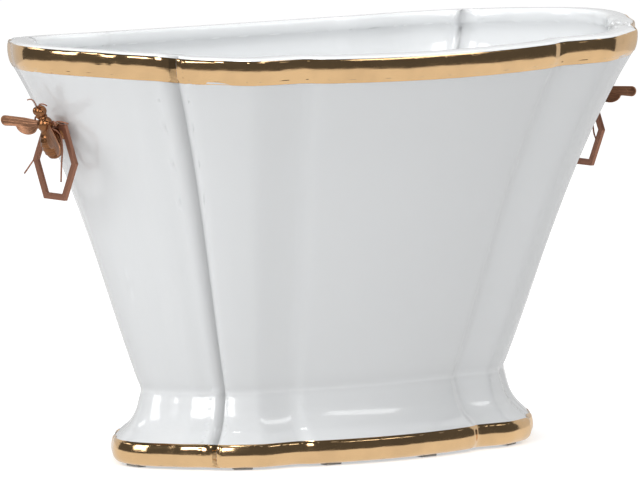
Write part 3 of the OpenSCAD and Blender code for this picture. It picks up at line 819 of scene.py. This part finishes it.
class PLANTER_OT_wings(bpy.types.Operator):
    """Veined wings of the two bees"""
    bl_idname = "planter.wings"
    bl_label = "Wings"

    def execute(self, context):
        size = context.scene.planter_sizes
        paint = wing_bronze()
        wings = [(side, wing) for side in SIDES for wing in WINGS]
        net = join([vein(route, size) for route in VEIN_SHARES], "veins")
        for (side, wing), veins in zip(wings, copies(net, len(wings))):
            node = f"{side}_bee_{wing}_wing"
            plate = copy_of(node)
            whole_faces(plate)
            broad = max(face.area for face in plate.data.polygons) * BROAD
            edit(plate)
            pick(plate, "polygons", lambda face: face.area > broad)
            bpy.ops.mesh.inset(thickness=size.wing_rim, depth=0)
            bpy.ops.mesh.inset(thickness=size.wing_rim * SLOPE, depth=-size.wing_hollow)
            done()
            ease(plate, size.small_edge)
            settle(veins, wing_space(side, wing))
            outward(veins)
            finish(join([plate, veins], node), f"{node}_veined", paint, "planter", [node])
        return {"FINISHED"}


class PLANTER_OT_wires(bpy.types.Operator):
    """Wire legs and antennae of the two bees"""
    bl_idname = "planter.wires"
    bl_label = "Legs and antennae"

    def execute(self, context):
        paint = copper()
        for side in SIDES:
            for part in ("legs", "antennae"):
                node = f"{side}_bee_{part}"
                finish(copy_of(node), f"{node}_drawn", paint, "planter", [node], angle=70)
        return {"FINISHED"}


class PLANTER_OT_rings(bpy.types.Operator):
    """Chamfered ring pulls and their hangers"""
    bl_idname = "planter.rings"
    bl_label = "Ring pulls"

    def execute(self, context):
        size = context.scene.planter_sizes
        ring_paint, hanger_paint = copper(), bronze()
        finishes = {"ring": (size.ring_chamfer, ring_paint, "copper"),
                    "ring_hanger": (size.small_edge, hanger_paint, "bronze")}
        for side in SIDES:
            for part, (width, paint, slot) in finishes.items():
                node = f"{side}_{part}"
                piece = copy_of(node)
                whole_faces(piece)
                ease(piece, width, segments=1, sharp=35)
                finish(piece, f"{node}_worked", paint, body_for(node), [node], angle=30)
        return {"FINISHED"}


# The parts that hold each bee to the wall, and what each is made of
HARDWARE = {"stud": "steel", "outer_washer": "rubber", "inner_washer": "rubber", "steel_washer": "steel",
            "cap_nut": "steel"}


class PLANTER_OT_hardware(bpy.types.Operator):
    """Studs, washers and cap nuts"""
    bl_idname = "planter.hardware"
    bl_label = "Studs, washers and nuts"

    def execute(self, context):
        size = context.scene.planter_sizes
        paints = {"steel": steel(), "rubber": rubber()}
        for side in SIDES:
            for part, slot in HARDWARE.items():
                node = f"{side}_{part}"
                piece = copy_of(node)
                whole_faces(piece)
                ease(piece, size.small_edge)
                finish(piece, f"{node}_turned", paints[slot], "planter", [node])
        return {"FINISHED"}


class PLANTER_OT_pads(bpy.types.Operator):
    """Felt pads under the foot"""
    bl_idname = "planter.pads"
    bl_label = "Foot pads"

    def execute(self, context):
        size = context.scene.planter_sizes
        paint = felt()
        for node in PADS:
            pad = copy_of(node)
            whole_faces(pad)
            ease(pad, size.pad_edge, segments=3)
            finish(pad, f"{node}_felt", paint, "planter", [node], angle=60)
        return {"FINISHED"}


# Stage

def seen_directly(nodes, links):
    """1 for rays from the camera and for those that shiny surfaces and glass send on, else 0."""
    path = nodes.new("ShaderNodeLightPath")
    total = path.outputs["Is Camera Ray"]
    for name in ("Is Glossy Ray", "Is Transmission Ray"):
        add = nodes.new("ShaderNodeMath")
        add.use_clamp = True
        links.new(total, add.inputs[0])
        links.new(path.outputs[name], add.inputs[1])
        total = add.outputs["Value"]
    return total


def mixed(nodes, links, share, first, second):
    """Mixes two shaders by a value."""
    node = nodes.new("ShaderNodeMixShader")
    for socket, output in zip(node.inputs, (share, first, second)):
        links.new(output, socket)
    return node.outputs["Shader"]


def emitted(nodes, strength):
    light = nodes.new("ShaderNodeEmission")
    light.inputs["Strength"].default_value = strength
    return light.outputs["Emission"]


def white_world(strength):
    """White where it is seen, and softer in the light that it gives."""
    world = bpy.data.worlds.new("studio")
    bpy.context.scene.world = world
    world.use_nodes = True
    nodes, links = world.node_tree.nodes, world.node_tree.links
    soft = nodes["Background"]
    soft.inputs["Strength"].default_value = strength
    soft.inputs["Color"].default_value = grey(1)
    white = nodes.new("ShaderNodeBackground")
    white.inputs["Color"].default_value = grey(1)
    seen = seen_directly(nodes, links)
    both = mixed(nodes, links, seen, soft.outputs["Background"], white.outputs["Background"])
    links.new(both, nodes["World Output"].inputs["Surface"])


def white_floor(stage):
    """White to the camera, a little softer in mirror images, and duller in the light that it throws up."""
    bpy.ops.mesh.primitive_plane_add(size=stage.floor, location=(0, 0, -stage.floor_drop))
    floor = bpy.context.object
    floor.name = "floor"
    paint = bpy.data.materials.new("white_floor")
    paint.use_nodes = True
    nodes, links = paint.node_tree.nodes, paint.node_tree.links
    base = nodes["Principled BSDF"]
    base.inputs["Base Color"].default_value = grey(stage.floor_white)
    base.inputs["Roughness"].default_value = 0.9
    base.inputs["Specular IOR Level"].default_value = 0.0
    bright = nodes.new("ShaderNodeAddShader")
    links.new(base.outputs["BSDF"], bright.inputs[0])
    links.new(emitted(nodes, stage.floor_glow), bright.inputs[1])
    dull = nodes.new("ShaderNodeBsdfDiffuse")
    dull.inputs["Color"].default_value = grey(stage.floor_dull)
    seen = seen_directly(nodes, links)
    plain = mixed(nodes, links, seen, dull.outputs["BSDF"], bright.outputs["Shader"])
    glossy = nodes.new("ShaderNodeLightPath").outputs["Is Glossy Ray"]
    whole = mixed(nodes, links, glossy, plain, emitted(nodes, stage.mirrored))
    links.new(whole, nodes["Material Output"].inputs["Surface"])
    floor.data.materials.append(paint)


def glow(name, strength):
    """A material that only gives light."""
    paint = bpy.data.materials.new(name)
    paint.use_nodes = True
    nodes = paint.node_tree.nodes
    paint.node_tree.links.new(emitted(nodes, strength), nodes["Material Output"].inputs["Surface"])
    return paint


# A face of the dome is pale where the cosine between its direction and the view's is above this
AHEAD = 0.5


def dome(stage, ahead):
    """The studio round a white table, dim behind the camera and pale ahead, which only shiny surfaces see."""
    radius = stage.dome_radius
    bpy.ops.mesh.primitive_uv_sphere_add(segments=48, ring_count=24, radius=radius, location=(0, 0, 0))
    shell = bpy.context.object
    shell.name = "dome"
    edit(shell)
    pick(shell, "polygons", lambda face: face.center.z < 0)
    bpy.ops.mesh.delete(type="FACE")
    pick(shell, "vertices", lambda vertex: abs(vertex.co.z) < MERGE)
    bpy.ops.mesh.extrude_edges_move()
    inward = stage.table / radius
    bpy.ops.transform.resize(value=(inward, inward, 1), center_override=(0, 0, 0))
    done()
    shell.data.materials.append(glow("dim_studio", stage.dim))
    shell.data.materials.append(glow("pale_studio", stage.pale))
    for face in shell.data.polygons:
        face.material_index = int(face.center.normalized().dot(ahead) > AHEAD)
    shell.visible_camera = shell.visible_diffuse = False
    shell.visible_transmission = shell.visible_shadow = False


# Each lamp's place, the point that it shines at, its width and height, and its power in PlanterStage
BELLY, RIM = (0, 0, 0.12), (0, 0, 0.2)
LAMPS = {
    "key": ((-1.25, -1.5, 0.95), BELLY, (1.2, 0.8), "key"),
    "side": ((-1.7, 0.2, 0.7), BELLY, (0.7, 0.9), "side"),
    "top": ((0.1, -0.25, 1.5), BELLY, (0.5, 0.35), "top"),
    "right_window": ((1.15, -1.45, 1.35), RIM, (0.9, 0.3), "window"),
    "back_window": ((-1.15, 1.45, 1.25), RIM, (0.9, 0.3), "window"),
}


def lamp(name, place, aim, extent, power):
    bpy.ops.object.light_add(type="AREA", location=place)
    light = bpy.context.object
    light.name = name
    light.data.shape = "RECTANGLE"
    light.data.size, light.data.size_y = extent
    light.data.energy = power
    light.rotation_euler = (Vector(aim) - Vector(place)).to_track_quat("-Z", "Y").to_euler()


# How far the camera sees, in metres
FAR = 100


def view_ahead(stage):
    """The way that the camera looks, as a unit vector."""
    level = math.cos(stage.elevation)
    return Vector((math.sin(stage.azimuth) * level, math.cos(stage.azimuth) * level,
                   -math.sin(stage.elevation)))


def set_camera(stage, ahead):
    """Sets up the camera so that the picture takes in its width at the pot."""
    right = Vector((math.cos(stage.azimuth), -math.sin(stage.azimuth), 0))
    aim = Vector((0, 0, stage.aim_height)) - right * stage.aim_left
    bpy.ops.object.camera_add(location=aim - ahead * stage.distance)
    camera = bpy.context.object
    camera.name = "camera"
    camera.rotation_mode = "QUATERNION"
    turn = ahead.to_track_quat("-Z", "Y").to_matrix() @ Matrix.Rotation(stage.roll, 3, "Z")
    camera.rotation_quaternion = turn.to_quaternion()
    camera.data.lens = camera.data.sensor_width * stage.distance / stage.view_width
    camera.data.clip_end = FAR
    bpy.context.scene.camera = camera


class PLANTER_OT_stage(bpy.types.Operator):
    """Camera, floor and soft light"""
    bl_idname = "planter.stage"
    bl_label = "Stage"

    def execute(self, context):
        stage = context.scene.planter_stage
        ahead = view_ahead(stage)
        set_camera(stage, ahead)
        white_world(stage.world)
        white_floor(stage)
        dome(stage, ahead)
        for name, (place, aim, extent, power) in LAMPS.items():
            lamp(name, place, aim, extent, getattr(stage, power))
        context.scene.view_settings.view_transform = "Standard"
        return {"FINISHED"}


OPERATORS = (PLANTER_OT_porcelain, PLANTER_OT_lustre, PLANTER_OT_bees, PLANTER_OT_wings, PLANTER_OT_wires,
             PLANTER_OT_rings, PLANTER_OT_hardware, PLANTER_OT_pads, PLANTER_OT_stage)
GROUPS = {"planter_colours": PlanterColours, "planter_sizes": PlanterSizes, "planter_stage": PlanterStage}


class PLANTER_PT_panel(bpy.types.Panel):
    """Sizes, colours and pieces of the planter"""
    bl_idname = "PLANTER_PT_panel"
    bl_label = "Planter"
    bl_space_type = "VIEW_3D"
    bl_region_type = "UI"
    bl_category = "Planter"

    def draw(self, context):
        for attribute, group in GROUPS.items():
            box = self.layout.box()
            for name in group.__annotations__:
                box.prop(getattr(context.scene, attribute), name)
        for operator in OPERATORS:
            self.layout.operator(operator.bl_idname)


CLASSES = (*GROUPS.values(), *OPERATORS, PLANTER_PT_panel)


def register():
    for cls in CLASSES:
        bpy.utils.register_class(cls)
    for attribute, group in GROUPS.items():
        setattr(bpy.types.Scene, attribute, PointerProperty(type=group))


def unregister():
    for attribute in GROUPS:
        delattr(bpy.types.Scene, attribute)
    for cls in reversed(CLASSES):
        bpy.utils.unregister_class(cls)


def main():
    register()
    bpy.ops.planter.porcelain()
    bpy.ops.planter.lustre()
    bpy.ops.planter.bees()
    bpy.ops.planter.wings()
    bpy.ops.planter.wires()
    bpy.ops.planter.rings()
    bpy.ops.planter.hardware()
    bpy.ops.planter.pads()
    bpy.ops.planter.stage()


if __name__ == "__main__":
    main()
